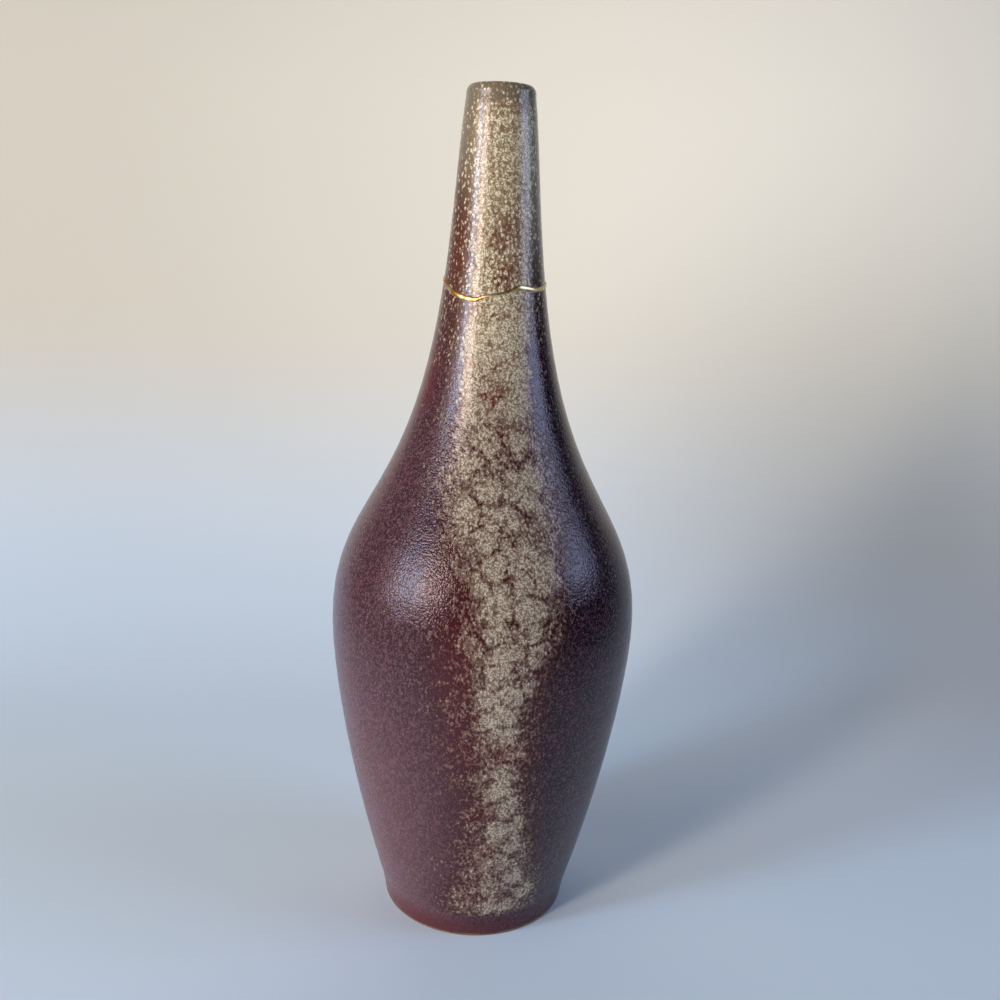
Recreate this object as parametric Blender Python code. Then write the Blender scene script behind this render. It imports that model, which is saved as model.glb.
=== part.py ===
"""A thrown stoneware bottle vase whose neck broke off and was mended with a gold seam.

Metres, +Z up. The origin is the centre of the foot, on the surface that the vase stands on. The front, where a
pale streak runs down the glaze, faces -Y.
"""

import math

import bmesh
import bpy
from mathutils import Vector
from mathutils.geometry import interpolate_bezier

# Rises of the outline's stretches, stacked from the ground up
FOOT_BAND_RISE = 0.0075
LOWER_WALL_RISE = 0.0874
SHOULDER_RISE = 0.0826
NECK_RISE = 0.0699
LIP_RISE = 0.0026

# Radii outside
FOOT_RADIUS = 0.0289
FOOT_BAND_RADIUS = 0.0304
BELLY_RADIUS = 0.0465
NECK_BASE_RADIUS = 0.0180
NECK_TOP_RADIUS = 0.0098
# How far the lip's crest lies inside the top of the neck
LIP_INSET = 0.0019

# How the outline leans where two stretches meet: metres outwards for each metre up
FOOT_FLARE = 0.29
NECK_BASE_TAPER = -0.21
NECK_TOP_TAPER = -0.13

# How far a stretch keeps its direction from its lower and its upper end, as shares of its rise
LOWER_WALL_HOLD = (0.43, 0.18)
SHOULDER_HOLD = (0.405, 0.57)
NECK_HOLD = (0.375, 0.25)

# Walls, measured square to the outside
FOOT_WALL = 0.0060
BELLY_WALL = 0.0045
NECK_WALL = 0.0036
FLOOR_THICKNESS = 0.0055
# The rounding between the floor and the wall, and how far the lip rolls down into the mouth
FLOOR_COVE = 0.0090
MOUTH_ROLL = 0.0014

# The foot: a flat ring round a shallow turned recess
FOOT_RING_WIDTH = 0.0050
RECESS_DEPTH = 0.0025
RECESS_COVE = 0.0012
FOOT_CHAMFER = 0.0005

# The break: from the neck's base up to its lowest point, and from there to its highest
BREAK_RISE = 0.0149
BREAK_SWING = 0.0069
# The gold: its usual width, how far it stands proud of the glaze, and its gap to the clay on either side
SEAM_WIDTH = 0.0013
SEAM_PROUD = 0.00025
SEAM_CLEARANCE = 0.0003
# Stations round the break: degrees from the front towards +X, share of BREAK_SWING, share of SEAM_WIDTH
BREAK_PATH = (
    (-180, 0.96, 0.9),
    (-150, 0.87, 0.8),
    (-120, 1.00, 1.0),
    (-90, 0.71, 0.9),
    (-70, 0.55, 1.0),
    (-50, 0.23, 1.1),
    (-35, 0.06, 1.1),
    (-20, 0.00, 1.0),
    (-12, 0.10, 0.8),
    (-4, 0.19, 0.7),
    (8, 0.27, 0.7),
    (18, 0.39, 0.9),
    (28, 0.51, 1.1),
    (38, 0.48, 1.1),
    (55, 0.43, 1.0),
    (80, 0.56, 0.8),
    (120, 0.84, 1.0),
    (150, 0.75, 0.9),
)

# How finely the form is divided: round a full turn, up each stretch outside and inside, and round a corner
TURN_STEPS = 64
LOWER_WALL_STEPS = 8
SHOULDER_STEPS = 11
NECK_BELOW_BREAK_STEPS = 3
NECK_ABOVE_BREAK_STEPS = 6
INSIDE_LOWER_WALL_STEPS = 5
INSIDE_SHOULDER_STEPS = 7
INSIDE_BELOW_BREAK_STEPS = 2
INSIDE_ABOVE_BREAK_STEPS = 4
ROUNDING_STEPS = 3
OUTLINE_SAMPLES = 200
SHARP_ANGLE = math.radians(40)
MERGE_DISTANCE = 1e-6

# Heights that follow from the rises
BELLY_HEIGHT = FOOT_BAND_RISE + LOWER_WALL_RISE
NECK_BASE_HEIGHT = BELLY_HEIGHT + SHOULDER_RISE
BREAK_HEIGHT = NECK_BASE_HEIGHT + BREAK_RISE
NECK_TOP_HEIGHT = NECK_BASE_HEIGHT + NECK_RISE
LIP_HEIGHT = NECK_TOP_HEIGHT + LIP_RISE
FLOOR_HEIGHT = RECESS_DEPTH + FLOOR_THICKNESS

# The points (radius, height) where two stretches meet
FOOT_BAND_TOP = (FOOT_BAND_RADIUS, FOOT_BAND_RISE)
BELLY = (BELLY_RADIUS, BELLY_HEIGHT)
NECK_BASE = (NECK_BASE_RADIUS, NECK_BASE_HEIGHT)
NECK_TOP = (NECK_TOP_RADIUS, NECK_TOP_HEIGHT)


def stretch(low, low_lean, high, high_lean, hold, rings):
    """Points (radius, height) up one smooth stretch of the outline, both its ends among them."""
    rise = high[1] - low[1]
    low_hold, high_hold = rise * hold[0], rise * hold[1]
    knots = (
        (low[0], low[1]),
        (low[0] + low_lean * low_hold, low[1] + low_hold),
        (high[0] - high_lean * high_hold, high[1] - high_hold),
        (high[0], high[1]),
    )
    curve = interpolate_bezier(*(Vector(knot) for knot in knots), rings + 1)
    return [(point.x, point.y) for point in curve]


def lower_wall(rings):
    return stretch(FOOT_BAND_TOP, FOOT_FLARE, BELLY, 0.0, LOWER_WALL_HOLD, rings)


def shoulder(rings):
    return stretch(BELLY, 0.0, NECK_BASE, NECK_BASE_TAPER, SHOULDER_HOLD, rings)


def neck(rings):
    return stretch(NECK_BASE, NECK_BASE_TAPER, NECK_TOP, NECK_TOP_TAPER, NECK_HOLD, rings)


# The outside as one fine line of (radius, height), from the ground to where the lip starts
OUTLINE = (
    [(FOOT_RADIUS, 0.0)]
    + lower_wall(OUTLINE_SAMPLES)
    + shoulder(OUTLINE_SAMPLES)[1:]
    + neck(OUTLINE_SAMPLES)[1:]
)


def share_between(value, start, end):
    """How far value lies from start to end, kept within 0 and 1."""
    return min(max((value - start) / (end - start), 0.0), 1.0)


def outer_radius_and_lean(height):
    for (low_radius, low), (high_radius, high) in zip(OUTLINE, OUTLINE[1:]):
        if height <= high:
            break
    lean = (high_radius - low_radius) / (high - low)
    return low_radius + lean * (height - low), lean


def outer_radius(height):
    return outer_radius_and_lean(height)[0]


def inner_radius(height):
    """The inside at a height. The wall thins from the foot to the belly, and again up to the neck."""
    radius, lean = outer_radius_and_lean(height)
    lower = FOOT_WALL + (BELLY_WALL - FOOT_WALL) * share_between(height, FOOT_BAND_RISE, BELLY_HEIGHT)
    wall = lower + (NECK_WALL - BELLY_WALL) * share_between(height, BELLY_HEIGHT, NECK_BASE_HEIGHT)
    return radius - wall * math.hypot(1.0, lean)


def rounding(start, corner, end):
    """Points of a quarter of an ellipse from start to end, both included, that fills the corner between them."""
    centre = (start[0] + end[0] - corner[0], start[1] + end[1] - corner[1])
    points = []
    for step in range(ROUNDING_STEPS + 1):
        turn = math.radians(90) * step / ROUNDING_STEPS
        points.append(
            tuple(
                middle + (first - middle) * math.cos(turn) + (last - middle) * math.sin(turn)
                for middle, first, last in zip(centre, start, end)
            )
        )
    return points


def even_heights(low, high, rings):
    """Heights from low to high in even steps, both included."""
    return [low + (high - low) * ring / rings for ring in range(rings + 1)]


def break_at(angle):
    """Height of the middle of the break, and width of the gold, at an angle in degrees from the front."""
    before = [(turn - 360, *shares) for turn, *shares in BREAK_PATH[-2:]]
    after = [(turn + 360, *shares) for turn, *shares in BREAK_PATH[:2]]
    path = before + list(BREAK_PATH) + after
    index = max(place for place in range(1, len(path) - 2) if path[place][0] <= angle)
    previous, start, end, following = path[index - 1 : index + 3]
    run = end[0] - start[0]
    share = (angle - start[0]) / run
    shares = []
    for column in (1, 2):
        # A station is passed in the direction from the one before it to the one after it
        leave = (end[column] - previous[column]) / (end[0] - previous[0])
        arrive = (following[column] - start[column]) / (following[0] - start[0])
        shares.append(
            start[column] * (1 - share) ** 2 * (1 + 2 * share)
            + end[column] * share**2 * (3 - 2 * share)
            + leave * run * share * (1 - share) ** 2
            - arrive * run * share**2 * (1 - share)
        )
    return BREAK_HEIGHT + BREAK_SWING * shares[0], SEAM_WIDTH * shares[1]


def material(name, colour, roughness, metallic=0.0):
    made = bpy.data.materials.new(name)
    made.use_nodes = True
    shader = made.node_tree.nodes["Principled BSDF"]
    shader.inputs["Base Color"].default_value = (*colour, 1.0)
    shader.inputs["Roughness"].default_value = roughness
    shader.inputs["Metallic"].default_value = metallic
    return made


def turn_section(section, closed):
    """Turns a section of (radius, height) points once round Z. An open one starts and ends on the axis."""
    form = bmesh.new()
    corners = [form.verts.new((radius, 0.0, height)) for radius, height in section]
    lines = [form.edges.new(pair) for pair in zip(corners, corners[1:])]
    if closed:
        lines.append(form.edges.new((corners[-1], corners[0])))
    bmesh.ops.spin(
        form,
        geom=corners + lines,
        cent=(0.0, 0.0, 0.0),
        axis=(0.0, 0.0, 1.0),
        angle=math.tau,
        steps=TURN_STEPS,
        use_merge=True,
    )
    # The copies of a point on the axis become one
    bmesh.ops.remove_doubles(form, verts=form.verts, dist=MERGE_DISTANCE)
    bmesh.ops.recalc_face_normals(form, faces=form.faces)
    return form


def bend_to_break(form, moved_height):
    """Moves each point to moved_height(angle, height), along the face of the wall that it is nearer to."""
    for point in form.verts:
        radius, height = math.hypot(point.co.x, point.co.y), point.co.z
        if radius == 0.0:
            continue
        angle = math.degrees(math.atan2(point.co.x, -point.co.y))
        middle_of_wall = (outer_radius(height) + inner_radius(height)) / 2
        face = outer_radius if radius > middle_of_wall else inner_radius
        moved = moved_height(angle, height)
        stretched = (face(moved) + radius - face(height)) / radius
        point.co = (point.co.x * stretched, point.co.y * stretched, moved)


def place(name, form, finish):
    mesh = bpy.data.meshes.new(name)
    form.to_mesh(mesh)
    form.free()
    mesh.materials.append(finish)
    mesh.shade_smooth()
    mesh.set_sharp_from_angle(angle=SHARP_ANGLE)
    bpy.context.scene.collection.objects.link(bpy.data.objects.new(name, mesh))


def foot_section():
    """From the middle of the recess out to the top of the chamfer round the foot."""
    inside = FOOT_RADIUS - FOOT_RING_WIDTH
    cove = rounding(
        (inside - RECESS_COVE, RECESS_DEPTH), (inside, RECESS_DEPTH), (inside, RECESS_DEPTH - RECESS_COVE)
    )
    ring = [
        (inside, FOOT_CHAMFER),
        (inside + FOOT_CHAMFER, 0.0),
        (FOOT_RADIUS - FOOT_CHAMFER, 0.0),
        (outer_radius(FOOT_CHAMFER), FOOT_CHAMFER),
    ]
    return [(0.0, RECESS_DEPTH)] + cove + ring


def inside_section():
    """Down the inside from the break to the middle of the floor."""
    cove_top = FLOOR_HEIGHT + FLOOR_COVE
    wall_foot = inner_radius(cove_top)
    heights = even_heights(cove_top, BELLY_HEIGHT, INSIDE_LOWER_WALL_STEPS)[1:]
    heights += [height for _, height in shoulder(INSIDE_SHOULDER_STEPS)[1:]]
    heights += even_heights(NECK_BASE_HEIGHT, BREAK_HEIGHT, INSIDE_BELOW_BREAK_STEPS)[1:]
    wall = [(inner_radius(height), height) for height in reversed(heights)]
    cove = rounding((wall_foot, cove_top), (wall_foot, FLOOR_HEIGHT), (wall_foot - FLOOR_COVE, FLOOR_HEIGHT))
    return wall + cove + [(0.0, FLOOR_HEIGHT)]


def make_body(finish):
    """The bottle from its foot up to the break."""
    outside = lower_wall(LOWER_WALL_STEPS) + shoulder(SHOULDER_STEPS)[1:]
    for height in even_heights(NECK_BASE_HEIGHT, BREAK_HEIGHT, NECK_BELOW_BREAK_STEPS)[1:]:
        outside.append((outer_radius(height), height))
    form = turn_section(foot_section() + outside + inside_section(), closed=False)

    def below_break(angle, height):
        middle, width = break_at(angle)
        rim = middle - width / 2 - SEAM_CLEARANCE
        return height + (rim - BREAK_HEIGHT) * share_between(height, NECK_BASE_HEIGHT, BREAK_HEIGHT)

    bend_to_break(form, below_break)
    place("vase_body", form, finish)


def make_neck_shard(finish):
    """The broken-off neck with its rounded mouth."""
    outside = even_heights(BREAK_HEIGHT, NECK_TOP_HEIGHT, NECK_ABOVE_BREAK_STEPS)
    inside = even_heights(BREAK_HEIGHT, NECK_TOP_HEIGHT, INSIDE_ABOVE_BREAK_STEPS)
    mouth_radius = inner_radius(NECK_TOP_HEIGHT)
    crest = (NECK_TOP_RADIUS - LIP_INSET, LIP_HEIGHT)
    over = rounding(NECK_TOP, (NECK_TOP_RADIUS, LIP_HEIGHT), crest)
    into = rounding(crest, (mouth_radius, LIP_HEIGHT), (mouth_radius, LIP_HEIGHT - MOUTH_ROLL))
    section = [(outer_radius(height), height) for height in outside[:-1]]
    section += over + into[1:]
    section += [(inner_radius(height), height) for height in reversed(inside[:-1])]
    form = turn_section(section, closed=True)

    def above_break(angle, height):
        middle, width = break_at(angle)
        rim = middle + width / 2 + SEAM_CLEARANCE
        return height + (rim - BREAK_HEIGHT) * share_between(height, NECK_TOP_HEIGHT, BREAK_HEIGHT)

    bend_to_break(form, above_break)
    place("neck_shard", form, finish)


def make_seam(finish):
    """The gold in the break: it goes through the wall, and stands proud outside in a low round crown."""
    half = SEAM_WIDTH / 2
    outside, inside = outer_radius(BREAK_HEIGHT), inner_radius(BREAK_HEIGHT)
    crest = (outside + SEAM_PROUD, BREAK_HEIGHT)
    low_edge, high_edge = (outside, BREAK_HEIGHT - half), (outside, BREAK_HEIGHT + half)
    crown = rounding(low_edge, (crest[0], low_edge[1]), crest)
    crown += rounding(crest, (crest[0], high_edge[1]), high_edge)[1:]
    form = turn_section(crown + [(inside, high_edge[1]), (inside, low_edge[1])], closed=True)

    def in_break(angle, height):
        middle, width = break_at(angle)
        return middle + (height - BREAK_HEIGHT) * width / SEAM_WIDTH

    bend_to_break(form, in_break)
    place("gold_seam", form, finish)


def main():
    for old in list(bpy.data.objects):
        bpy.data.objects.remove(old)
    make_body(material("plum_glazed_stoneware", (0.125, 0.060, 0.064), 0.40))
    make_neck_shard(material("olive_and_plum_glazed_stoneware", (0.155, 0.115, 0.095), 0.36))
    make_seam(material("gold_on_lacquer", (0.80, 0.56, 0.22), 0.28, 1.0))


main()
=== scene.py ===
# %% [markdown]
# # A bottle vase mended with gold
# The object is a thrown stoneware bottle, 250 mm tall, in a satin plum glaze with a pale ash-like
# glaze poured down its front. Its neck once broke off and was set back with lacquer, and the join
# was covered with a line of gold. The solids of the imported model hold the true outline, the walls
# and the break. This script gives them their surface: finer meshes with the relief of the glaze,
# three ceramic finishes and the gold, and the light to see them by. It begins by loading the packed
# model, because every piece here has to sit where that model says.

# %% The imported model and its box
import math

import bmesh
import bpy
import numpy as np
from mathutils import Euler, Matrix, Vector
from mathutils.geometry import interpolate_bezier


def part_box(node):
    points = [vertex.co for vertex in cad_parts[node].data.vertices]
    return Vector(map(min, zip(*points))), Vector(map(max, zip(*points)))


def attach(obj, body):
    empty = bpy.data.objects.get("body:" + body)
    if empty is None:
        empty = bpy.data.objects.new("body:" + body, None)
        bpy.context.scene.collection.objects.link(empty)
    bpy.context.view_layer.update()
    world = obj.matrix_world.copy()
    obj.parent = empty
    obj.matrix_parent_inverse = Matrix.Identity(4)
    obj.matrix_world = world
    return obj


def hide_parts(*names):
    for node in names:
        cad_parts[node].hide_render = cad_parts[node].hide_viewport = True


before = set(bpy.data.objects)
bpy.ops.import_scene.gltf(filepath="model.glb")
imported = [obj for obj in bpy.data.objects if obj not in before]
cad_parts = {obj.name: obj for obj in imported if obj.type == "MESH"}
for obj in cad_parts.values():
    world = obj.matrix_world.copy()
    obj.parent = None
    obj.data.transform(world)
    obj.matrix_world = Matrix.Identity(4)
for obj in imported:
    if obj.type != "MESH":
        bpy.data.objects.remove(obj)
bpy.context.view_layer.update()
MM = 0.001
print("nodes:", sorted(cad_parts))

# %% [markdown]
# ## The camera
# A phone held about 30 cm away, level with the upper neck and tipped down, took the picture. Its
# place was found by fitting both outlines, the rim and the foot at once. The phone was also rolled
# a little, so the camera turns about its own line of sight as well.

# %% The camera
CAMERA_PLACE = (0.0, -0.30675, 0.210)
CAMERA_PITCH = 75.7
CAMERA_YAW = -0.75
CAMERA_ROLL = 2.25
CAMERA_LENS = 37.44
SENSOR_WIDTH = 36.0
NEAREST_SEEN = 0.01

camera = bpy.data.objects.new("camera", bpy.data.cameras.new("camera"))
camera.data.lens = CAMERA_LENS
camera.data.sensor_width = SENSOR_WIDTH
camera.data.clip_start = NEAREST_SEEN
aim = Euler((math.radians(CAMERA_PITCH), 0.0, math.radians(CAMERA_YAW))).to_matrix().to_4x4()
roll = Matrix.Rotation(math.radians(CAMERA_ROLL), 4, "Z")
camera.matrix_world = Matrix.Translation(CAMERA_PLACE) @ aim @ roll
bpy.context.scene.collection.objects.link(camera)
bpy.context.scene.camera = camera
print("camera", CAMERA_PLACE, "lens", CAMERA_LENS)

# %% [markdown]
# ## The outline of the pot
# A potter pulls such a bottle up in a few sweeps: out to the belly, in over the shoulder, and up
# the neck. So the outline is three smooth curves that share their direction where they meet. A list
# of measured points would hold the photograph's errors; three Bezier curves hold only the potter's
# sweeps. The sizes are those of the solids.

# %% The outline in metres
FOOT_BAND_HEIGHT = 0.0075
BELLY_HEIGHT = 0.0949
NECK_BASE_HEIGHT = 0.1775
BREAK_HEIGHT = 0.1924
NECK_TOP_HEIGHT = 0.2474
LIP_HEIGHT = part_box("neck_shard")[1].z

FOOT_RADIUS = 0.0289
FOOT_BAND_RADIUS = 0.0304
BELLY_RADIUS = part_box("vase_body")[1].x
NECK_BASE_RADIUS = 0.0180
NECK_TOP_RADIUS = 0.0098
LIP_INSET = 0.0019

FOOT_FLARE = 0.29
NECK_BASE_TAPER = -0.21
NECK_TOP_TAPER = -0.13
LOWER_WALL_HOLD = (0.43, 0.18)
SHOULDER_HOLD = (0.405, 0.57)
NECK_HOLD = (0.375, 0.25)

FOOT_BAND_TOP = (FOOT_BAND_RADIUS, FOOT_BAND_HEIGHT)
BELLY = (BELLY_RADIUS, BELLY_HEIGHT)
NECK_BASE = (NECK_BASE_RADIUS, NECK_BASE_HEIGHT)
NECK_TOP = (NECK_TOP_RADIUS, NECK_TOP_HEIGHT)


def stretch(low, low_lean, high, high_lean, hold, rings):
    """Points (radius, height) up one sweep of the outline, both its ends among them."""
    climb = high[1] - low[1]
    low_hold = climb * hold[0]
    high_hold = climb * hold[1]
    knots = (
        Vector(low),
        Vector((low[0] + low_lean * low_hold, low[1] + low_hold)),
        Vector((high[0] - high_lean * high_hold, high[1] - high_hold)),
        Vector(high),
    )
    return [(point.x, point.y) for point in interpolate_bezier(*knots, rings + 1)]


def lower_wall(rings):
    return stretch(FOOT_BAND_TOP, FOOT_FLARE, BELLY, 0.0, LOWER_WALL_HOLD, rings)


def shoulder(rings):
    return stretch(BELLY, 0.0, NECK_BASE, NECK_BASE_TAPER, SHOULDER_HOLD, rings)


def neck(rings):
    return stretch(NECK_BASE, NECK_BASE_TAPER, NECK_TOP, NECK_TOP_TAPER, NECK_HOLD, rings)


FINE_RINGS = 300
outline = [(FOOT_RADIUS, 0.0)] + lower_wall(FINE_RINGS)
OUTLINE = np.array(outline + shoulder(FINE_RINGS)[1:] + neck(FINE_RINGS)[1:])


def outer_radius(height):
    return np.interp(height, OUTLINE[:, 1], OUTLINE[:, 0])


# The solid's corners near the outline, above its rounded foot, show how well the two agree
NEAR = 1.5 * MM
ABOVE_FOOT = 1 * MM
corners = np.array([corner.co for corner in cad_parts["vase_body"].data.vertices])
corner_radii = np.hypot(corners[:, 0], corners[:, 1])
off = corner_radii - outer_radius(corners[:, 2])
off = np.abs(off)[(off > -NEAR) & (corners[:, 2] > ABOVE_FOOT)]
print("the solid's outside lies within", round(float(off.max()) / MM, 3), "mm of this outline")

# %% [markdown]
# ## The wall inside
# The inside can't be seen from the front, but it shows from above and it is part of the form. The
# wall thins from the foot to the belly and again up to the neck, as a thrown wall does, and is
# measured square to the outside.

# %% The inner radius
FOOT_WALL = 6.0 * MM
BELLY_WALL = 4.5 * MM
NECK_WALL = 3.6 * MM
WALL_HEIGHTS = (FOOT_BAND_HEIGHT, BELLY_HEIGHT, NECK_BASE_HEIGHT)
LEANS = np.gradient(OUTLINE[:, 0], OUTLINE[:, 1])


def inner_radius(height):
    wall = np.interp(height, WALL_HEIGHTS, (FOOT_WALL, BELLY_WALL, NECK_WALL))
    lean = np.interp(height, OUTLINE[:, 1], LEANS)
    return outer_radius(height) - wall * np.hypot(1.0, lean)


for height in (20 * MM, BELLY_HEIGHT, NECK_BASE_HEIGHT, NECK_TOP_HEIGHT):
    print("at", round(height / MM), "mm the bore is", round(float(2 * inner_radius(height)) / MM, 1), "mm")

# %% [markdown]
# ## The break
# The neck snapped off just above the shoulder. Clay breaks along a wandering line, low at the front
# left and higher round the back, and the gold follows it with a brush's uneven width. A few
# stations say how high and how wide it is, and a curve through them gives every angle between.
# Angles are counted from the front towards the right, so that a maker can mark them on the pot.

# %% The height of the break and the width of the gold all round
BREAK_SWING = 6.9 * MM
SEAM_WIDTH = 1.3 * MM
# Degrees from the front towards +X, share of the swing, share of the width
BREAK_PATH = (
    (-180, 0.96, 0.9),
    (-150, 0.87, 0.8),
    (-120, 1.00, 1.0),
    (-90, 0.71, 0.9),
    (-70, 0.55, 1.0),
    (-50, 0.23, 1.1),
    (-35, 0.06, 1.1),
    (-20, 0.00, 1.0),
    (-12, 0.10, 0.8),
    (-4, 0.19, 0.7),
    (8, 0.27, 0.7),
    (18, 0.39, 0.9),
    (28, 0.51, 1.1),
    (38, 0.48, 1.1),
    (55, 0.43, 1.0),
    (80, 0.56, 0.8),
    (120, 0.84, 1.0),
    (150, 0.75, 0.9),
)


def through_stations(angle, column):
    """A smooth closed curve through one column of the stations, read at angles in degrees."""
    path = np.array(BREAK_PATH)
    turns = np.concatenate([path[-2:, 0] - 360, path[:, 0], path[:2, 0] + 360])
    values = np.concatenate([path[-2:, column], path[:, column], path[:2, column]])
    slopes = (values[2:] - values[:-2]) / (turns[2:] - turns[:-2])
    index = np.clip(np.searchsorted(turns, angle, side="right") - 1, 1, len(turns) - 3)
    run = turns[index + 1] - turns[index]
    share = (angle - turns[index]) / run
    return (
        values[index] * (1 - share) ** 2 * (1 + 2 * share)
        + values[index + 1] * share**2 * (3 - 2 * share)
        + slopes[index - 1] * run * share * (1 - share) ** 2
        - slopes[index] * run * share**2 * (1 - share)
    )


def break_height(angle):
    return BREAK_HEIGHT + BREAK_SWING * through_stations(angle, 1)


def seam_width(angle):
    return SEAM_WIDTH * through_stations(angle, 2)


compass = np.arange(-180.0, 180.0)
print("the break runs from", round(float(break_height(compass).min()) / MM, 1), "to",
      round(float(break_height(compass).max()) / MM, 1), "mm")

# %% [markdown]
# ## Turning a section
# Everything here was made on a wheel, so each piece is a section turned once round. The spin
# operator does that. Equal steps would spend as many faces on the plain back as on the streaked
# front, so the steps are then crowded together towards the front: a point at angle u moves to u - k
# sin u, which keeps the circle round.

# %% Turn a section and crowd its steps to the front
FRONT_CROWDING = 0.55
CROWDING_CENTRE = math.radians(8)
MERGE_DISTANCE = 0.001 * MM


def turn_section(section, steps, closed=False):
    """Turns a section of (radius, height) points once round Z. An open one starts and ends on the axis."""
    form = bmesh.new()
    points = [form.verts.new((radius, 0.0, height)) for radius, height in section]
    lines = [form.edges.new(pair) for pair in zip(points, points[1:])]
    if closed:
        lines.append(form.edges.new((points[-1], points[0])))
    bmesh.ops.spin(
        form,
        geom=points + lines,
        cent=(0.0, 0.0, 0.0),
        axis=(0.0, 0.0, 1.0),
        angle=math.tau,
        steps=steps,
        use_merge=True,
    )
    bmesh.ops.remove_doubles(form, verts=form.verts, dist=MERGE_DISTANCE)
    bmesh.ops.recalc_face_normals(form, faces=form.faces)
    return form


def to_object(name, form):
    mesh = bpy.data.meshes.new(name)
    form.to_mesh(mesh)
    form.free()
    mesh.shade_smooth()
    made = bpy.data.objects.new(name, mesh)
    bpy.context.scene.collection.objects.link(made)
    return made


def read_points(mesh):
    flat = np.empty(len(mesh.vertices) * 3, np.float32)
    mesh.vertices.foreach_get("co", flat)
    return flat.reshape(-1, 3).astype(float)


def write_points(mesh, angle, radius, height):
    """Puts the points back from angle (radians from the front towards +X), radius and height."""
    points = np.stack([radius * np.sin(angle), -radius * np.cos(angle), height], axis=1)
    mesh.vertices.foreach_set("co", points.astype(np.float32).ravel())
    mesh.update()


def around(points):
    """Angle, radius and height of points, with the turning steps crowded to the front."""
    radius = np.hypot(points[:, 0], points[:, 1])
    spun = np.arctan2(points[:, 0], -points[:, 1]) - CROWDING_CENTRE
    angle = spun - FRONT_CROWDING * np.sin(spun) + CROWDING_CENTRE
    return (angle + math.pi) % math.tau - math.pi, radius, points[:, 2]


finer = (1 + FRONT_CROWDING) / (1 - FRONT_CROWDING)
print("steps are", round(finer, 1), "times finer at the front than behind")

# %% [markdown]
# ## Where the glazes lie
# Over the plum glaze a second, pale glaze was poured at the mouth. It ran down the front, thinned
# as it went, and curdled into little clouds with dark red lines between them. Three things place
# it: how far it spreads to either side at each height, the clouds one by one, and the reddish
# places where it is thin. Each cloud is an ellipse on the wall, and the dark line between two
# clouds is where they are equally near.

# %% Where the pale glaze runs
# Height in mm, then how far it reaches to the left and to the right of the front, in degrees
STREAK = (
    (6, -6, 33),
    (11, -8, 36),
    (17, -9, 36),
    (27, 0, 29),
    (39, 2, 24),
    (54, 4, 19),
    (68, 2, 19),
    (81, 0, 19),
    (93, -1, 20),
    (104, -2, 26),
    (115, -1, 29),
    (124, -7, 33),
    (134, -15, 38),
    (144, -21, 42),
    (152, -21, 39),
    (160, -19, 34),
    (173, -21, 34),
    (184, -25, 38),
    (198, -23, 40),
    (206, -24, 46),
    (219, -29, 54),
    (240, -36, 64),
    (250, -40, 72),
)
# Degrees from the front, height in mm, then half the width and half the height in mm
CLOUDS = (
    (-1, 154, 3.4, 3.2), (19, 154, 3.6, 3.4), (-12, 149, 3.4, 3.4), (1, 142, 3.8, 3.6), (15, 143, 3.6, 3.6),
    (26, 145, 3.4, 3.6), (22, 139, 3.2, 3.0), (-9, 136, 3.4, 3.6), (3, 135, 3.2, 3.2), (12, 135, 3.2, 3.2),
    (1, 130, 3.0, 2.8), (14, 125, 4.4, 4.0), (5, 123, 3.4, 3.6), (24, 120, 4.4, 4.6), (16, 118, 3.4, 3.2),
    (-2, 118, 2.4, 2.6), (5, 113, 3.6, 6.0), (17, 112, 4.6, 3.6), (6, 106, 4.0, 3.4), (16, 106, 4.0, 3.2),
    (-3, 102, 2.4, 2.8), (20, 100, 3.0, 3.4), (8, 100, 4.4, 3.6), (6, 94, 4.0, 3.2), (11, 89, 4.2, 3.4),
    (3, 87, 3.4, 3.4), (17, 90, 2.6, 3.0), (7, 82, 4.8, 3.6), (9, 76, 4.2, 3.0), (14, 70, 2.8, 2.4),
    (11, 63, 4.0, 3.6), (8, 57, 3.6, 3.4), (13, 51, 3.8, 3.6), (9, 43, 3.4, 3.6), (17, 44, 3.6, 3.4),
    (18, 37, 3.2, 3.2), (11, 31, 3.4, 3.2), (21, 24, 3.2, 3.2), (11, 20, 3.4, 3.2), (19, 12, 3.4, 2.8),
    (28, 17, 2.8, 3.0), (8, 12, 3.0, 2.6),
)
# In half-widths from a cloud's middle: where it thins out, and where the dark lines end outside it
CLOUD_EDGE = (0.80, 1.22)
LINES_END = (1.2, 1.9)
USUAL_CLOUD = 3.4 * MM
LINE_WIDTH = 0.85 * MM
CLOUD_BEND = 0.45 * MM


def ease(value, start, end):
    """0 at start, 1 at end, with a soft run between."""
    share = np.clip((value - start) / (end - start), 0.0, 1.0)
    return share * share * (3 - 2 * share)


def nearest_two_clouds(angle, height):
    """How far the nearest cloud's middle is, in half-widths, and how much further the next is, in metres."""
    # Waves of 4 to 9 mm bend the clouds' edges, because no cloud is a clean ellipse
    arc = angle * outer_radius(height)
    sideways = np.sin(height / (1.3 * MM) + 1.7) + 0.7 * np.sin((height + arc) / (0.7 * MM))
    upwards = np.sin(arc / (1.1 * MM)) + 0.7 * np.sin((arc - height) / (0.8 * MM) + 2.0)
    bent_arc = arc + CLOUD_BEND * sideways
    bent_height = height + CLOUD_BEND * upwards
    shares = []
    for degrees, middle, half_width, half_height in CLOUDS:
        across = (bent_arc - math.radians(degrees) * outer_radius(height)) / (half_width * MM)
        up = (bent_height - middle * MM) / (half_height * MM)
        shares.append(np.hypot(across, up))
    first, second = np.partition(np.array(shares), 1, axis=0)[:2]
    return first, (second - first) * USUAL_CLOUD


print(len(STREAK), "heights and", len(CLOUDS), "clouds")

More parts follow.
